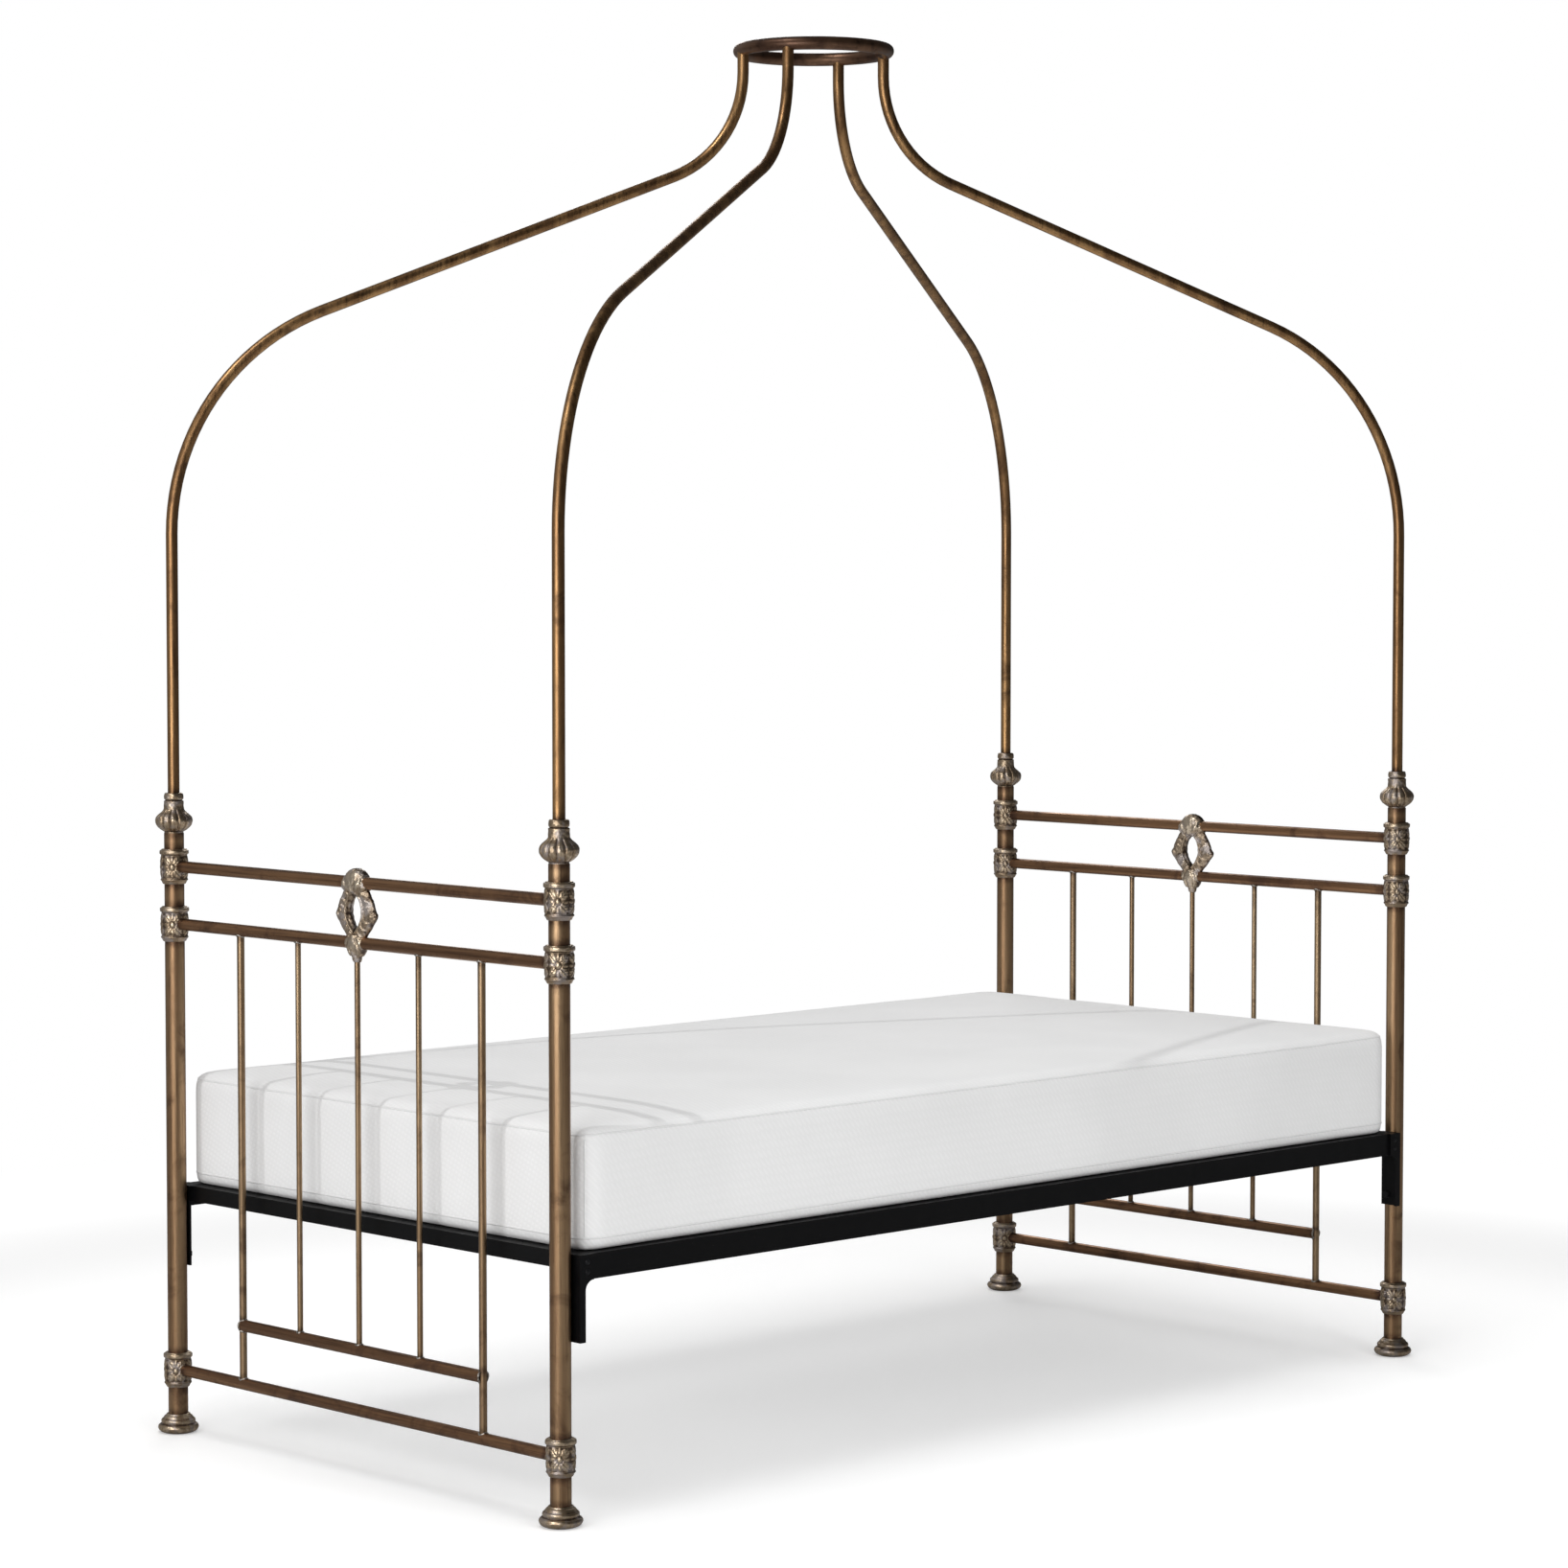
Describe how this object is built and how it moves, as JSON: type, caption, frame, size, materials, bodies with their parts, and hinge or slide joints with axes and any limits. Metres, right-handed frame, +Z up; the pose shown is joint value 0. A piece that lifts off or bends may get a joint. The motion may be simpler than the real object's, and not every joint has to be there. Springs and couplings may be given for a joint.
{
  "type": "four poster canopy bed",
  "caption": "Twin metal bed with two spindle end panels, cast collars and medallions, a mattress on a wire-mesh deck, and bent canopy arms that rise to a crown ring.",
  "frame": {"origin": "on the floor, at the centre of the bed's box", "axes": "+X along the bed to the right-hand end panel, +Y across it to the back, +Z up"},
  "size_m": [2.026, 1.016, 2.2796],
  "materials": {
    "antique_brass_tube": "antique brass, brushed by hand and lacquered satin, darker brown in the shadows",
    "bronzed_rail": "antique brass rubbed to a redder brown, satin",
    "bronzed_arm": "dark antique brass with golden rubbed highlights, satin",
    "dark_bronze_ring": "dark chocolate bronze, satin",
    "aged_brass_casting": "cast metal, aged brass with a grey patina in the relief",
    "black_deck_steel": "black satin enamel",
    "dark_fasteners": "black enamel over steel, slightly worn",
    "mesh_wire": "bright zinc-plated spring wire",
    "mattress_cover": "white knitted mattress ticking"
  },
  "bodies": {
    "bedstead": {"post_left_front": "antique_brass_tube", "post_left_back": "antique_brass_tube", "post_right_front": "antique_brass_tube", "post_right_back": "antique_brass_tube", "foot_left_front": "aged_brass_casting", "foot_left_back": "aged_brass_casting", "foot_right_front": "aged_brass_casting", "foot_right_back": "aged_brass_casting", "finial_left_front": "aged_brass_casting", "finial_left_back": "aged_brass_casting", "finial_right_front": "aged_brass_casting", "finial_right_back": "aged_brass_casting", "top_collar_left_front": "aged_brass_casting", "top_collar_left_back": "aged_brass_casting", "top_collar_right_front": "aged_brass_casting", "top_collar_right_back": "aged_brass_casting", "middle_collar_left_front": "aged_brass_casting", "middle_collar_left_back": "aged_brass_casting", "middle_collar_right_front": "aged_brass_casting", "middle_collar_right_back": "aged_brass_casting", "bottom_collar_left_front": "aged_brass_casting", "bottom_collar_left_back": "aged_brass_casting", "bottom_collar_right_front": "aged_brass_casting", "bottom_collar_right_back": "aged_brass_casting", "top_rail_left": "bronzed_rail", "top_rail_right": "bronzed_rail", "middle_rail_left": "bronzed_rail", "middle_rail_right": "bronzed_rail", "short_rail_left": "bronzed_rail", "short_rail_right": "bronzed_rail", "bottom_rail_left": "bronzed_rail", "bottom_rail_right": "bronzed_rail", "medallion_left": "aged_brass_casting", "medallion_right": "aged_brass_casting", "outer_spindles_left": "antique_brass_tube", "outer_spindles_right": "antique_brass_tube", "inner_spindles_left": "antique_brass_tube", "inner_spindles_right": "antique_brass_tube", "side_angle_front": "black_deck_steel", "side_angle_back": "black_deck_steel", "end_angle_left": "black_deck_steel", "end_angle_right": "black_deck_steel", "bracket_left_front": "black_deck_steel", "bracket_left_back": "black_deck_steel", "bracket_right_front": "black_deck_steel", "bracket_right_back": "black_deck_steel", "bracket_rivets": "dark_fasteners", "corner_bolts": "dark_fasteners", "mesh_long_wires": "mesh_wire", "mesh_cross_wires": "mesh_wire", "mesh_end_coils": "mesh_wire", "mesh_side_coils": "mesh_wire"},
    "mattress": {"mattress": "mattress_cover"},
    "canopy": {"arm_left_front": "bronzed_arm", "arm_left_back": "bronzed_arm", "arm_right_front": "bronzed_arm", "arm_right_back": "bronzed_arm", "crown_ring": "dark_bronze_ring"}
  },
  "joints": [
    {"name": "mattress_lift", "type": "slide", "parent": "bedstead", "child": "mattress", "axis": [0, 0, 1], "range_m": [0, 0.3]},
    {"name": "canopy_lift_off", "type": "slide", "parent": "bedstead", "child": "canopy", "axis": [0, 0, 1], "range_m": [0, 0.12]}
  ]
}
